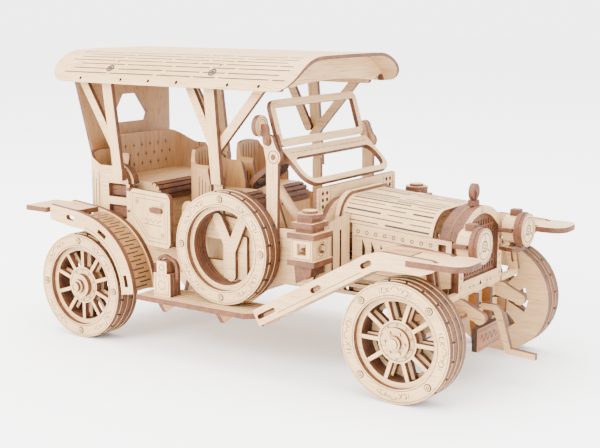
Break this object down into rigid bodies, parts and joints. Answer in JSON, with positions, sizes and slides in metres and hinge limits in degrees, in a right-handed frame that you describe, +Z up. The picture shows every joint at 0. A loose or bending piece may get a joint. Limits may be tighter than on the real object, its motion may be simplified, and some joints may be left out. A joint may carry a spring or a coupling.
{
  "type": "wooden 3d jigsaw model",
  "caption": "Self-assembly plywood model of an open tourer car with canopy roof, spoked wheels that roll, linked steering, opening doors, tilting windscreen and starting crank.",
  "frame": {"origin": "on the ground under the middle of the model's bounding box", "axes": "+X forward, +Y the car's left, +Z up"},
  "size_m": [0.296, 0.141, 0.1668],
  "materials": {
    "pale_face": "satin",
    "bent_sheet": "satin",
    "burnt_edge": "matte",
    "stained_plate": "satin"
  },
  "bodies": {
    "car": {"chassis_rails": "pale_face", "cross_members": "pale_face", "floor_pan": "pale_face", "leaf_springs": "bent_sheet", "front_axle_beam": "bent_sheet", "running_boards": "pale_face", "rear_fender_sides": "pale_face", "rear_fender_covers": "bent_sheet", "rear_fender_caps": "pale_face", "front_fender_sides": "pale_face", "front_fender_covers": "bent_sheet", "front_fender_caps": "pale_face", "fender_stays": "bent_sheet", "tub_sides": "pale_face", "tub_rear": "pale_face", "rear_seat_base": "bent_sheet", "rear_seat_back": "bent_sheet", "front_seat_bases": "bent_sheet", "front_seat_backs": "bent_sheet", "seat_cushions": "pale_face", "footboard": "pale_face", "dash_panel": "pale_face", "cowl": "bent_sheet", "bonnet_top": "pale_face", "bonnet_sides": "pale_face", "radiator_core": "burnt_edge", "radiator_front": "pale_face", "radiator_grille": "bent_sheet", "mascot": "pale_face", "headlights": "pale_face", "headlight_brackets": "bent_sheet", "number_plate": "stained_plate", "side_lamps": "pale_face", "fuel_can": "pale_face", "spare_tyre": "pale_face", "spare_bracket": "pale_face", "windscreen_posts": "pale_face", "windscreen_lower": "pale_face", "side_mirror": "pale_face", "roof_sheet": "pale_face", "roof_bows": "bent_sheet", "roof_posts": "burnt_edge", "roof_struts": "burnt_edge", "rear_curtain": "bent_sheet", "steering_column": "bent_sheet"},
    "upper_screen": {"windscreen_upper": "pale_face"},
    "steering_wheel": {"steering_wheel": "burnt_edge"},
    "brake_lever": {"brake_lever": "bent_sheet"},
    "crank": {"crank": "pale_face"},
    "knuckle_near": {"knuckle_near": "bent_sheet"},
    "knuckle_far": {"knuckle_far": "bent_sheet"},
    "tie_rod": {"tie_rod": "bent_sheet"},
    "front_wheel_near": {"front_tyre_near": "burnt_edge", "front_wheel_near": "pale_face"},
    "front_wheel_far": {"front_tyre_far": "burnt_edge", "front_wheel_far": "pale_face"},
    "rear_axle": {"rear_tyres": "burnt_edge", "rear_wheels": "pale_face"},
    "door_near": {"door_near": "pale_face"},
    "door_far": {"door_far": "pale_face"}
  },
  "joints": [
    {"name": "steering_turn", "type": "hinge", "parent": "car", "child": "steering_wheel", "pos_m": [-0.0055, -0.02, 0.1], "axis": [-0.6428, 0, 0.766], "range_deg": [-60, 60]},
    {"name": "knuckle_near_steer", "type": "hinge", "parent": "car", "child": "knuckle_near", "pos_m": [0.102, -0.04, 0.031], "axis": [0, 0, 1], "range_deg": [-10.5, 10.5]},
    {"name": "knuckle_far_steer", "type": "hinge", "parent": "car", "child": "knuckle_far", "pos_m": [0.102, 0.04, 0.031], "axis": [0, 0, 1], "range_deg": [-10.5, 10.5]},
    {"name": "tie_rod_pivot", "type": "hinge", "parent": "knuckle_near", "child": "tie_rod", "pos_m": [0.09, -0.04, 0.0208], "axis": [0, 0, 1], "range_deg": [-10.5, 10.5]},
    {"name": "front_wheel_near_spin", "type": "hinge", "parent": "knuckle_near", "child": "front_wheel_near", "pos_m": [0.102, -0.058, 0.031], "axis": [0, 1, 0], "continuous": true},
    {"name": "front_wheel_far_spin", "type": "hinge", "parent": "knuckle_far", "child": "front_wheel_far", "pos_m": [0.102, 0.058, 0.031], "axis": [0, 1, 0], "continuous": true},
    {"name": "rear_axle_spin", "type": "hinge", "parent": "car", "child": "rear_axle", "pos_m": [-0.11, 0, 0.031], "axis": [0, 1, 0], "continuous": true},
    {"name": "upper_screen_tilt", "type": "hinge", "parent": "car", "child": "upper_screen", "pos_m": [0.0183, 0, 0.1144], "axis": [0, 1, 0], "range_deg": [0, 90]},
    {"name": "crank_turn", "type": "hinge", "parent": "car", "child": "crank", "pos_m": [0.112, 0, 0.0384], "axis": [1, 0, 0], "continuous": true},
    {"name": "brake_lever_swing", "type": "hinge", "parent": "car", "child": "brake_lever", "pos_m": [0.022, -0.038, 0.062], "axis": [0, 1, 0], "range_deg": [-12, 12]},
    {"name": "door_near_swing", "type": "hinge", "parent": "car", "child": "door_near", "pos_m": [-0.0846, -0.0489, 0.082], "axis": [0, 0, 1], "range_deg": [-34, 11]},
    {"name": "door_far_swing", "type": "hinge", "parent": "car", "child": "door_far", "pos_m": [-0.0846, 0.0489, 0.082], "axis": [0, 0, 1], "range_deg": [0, 45]}
  ],
  "couplings": [
    {"joint": "knuckle_near_steer", "follows": "steering_turn", "ratio": 0.16667},
    {"joint": "knuckle_far_steer", "follows": "steering_turn", "ratio": 0.16667},
    {"joint": "tie_rod_pivot", "follows": "steering_turn", "ratio": -0.16667}
  ]
}
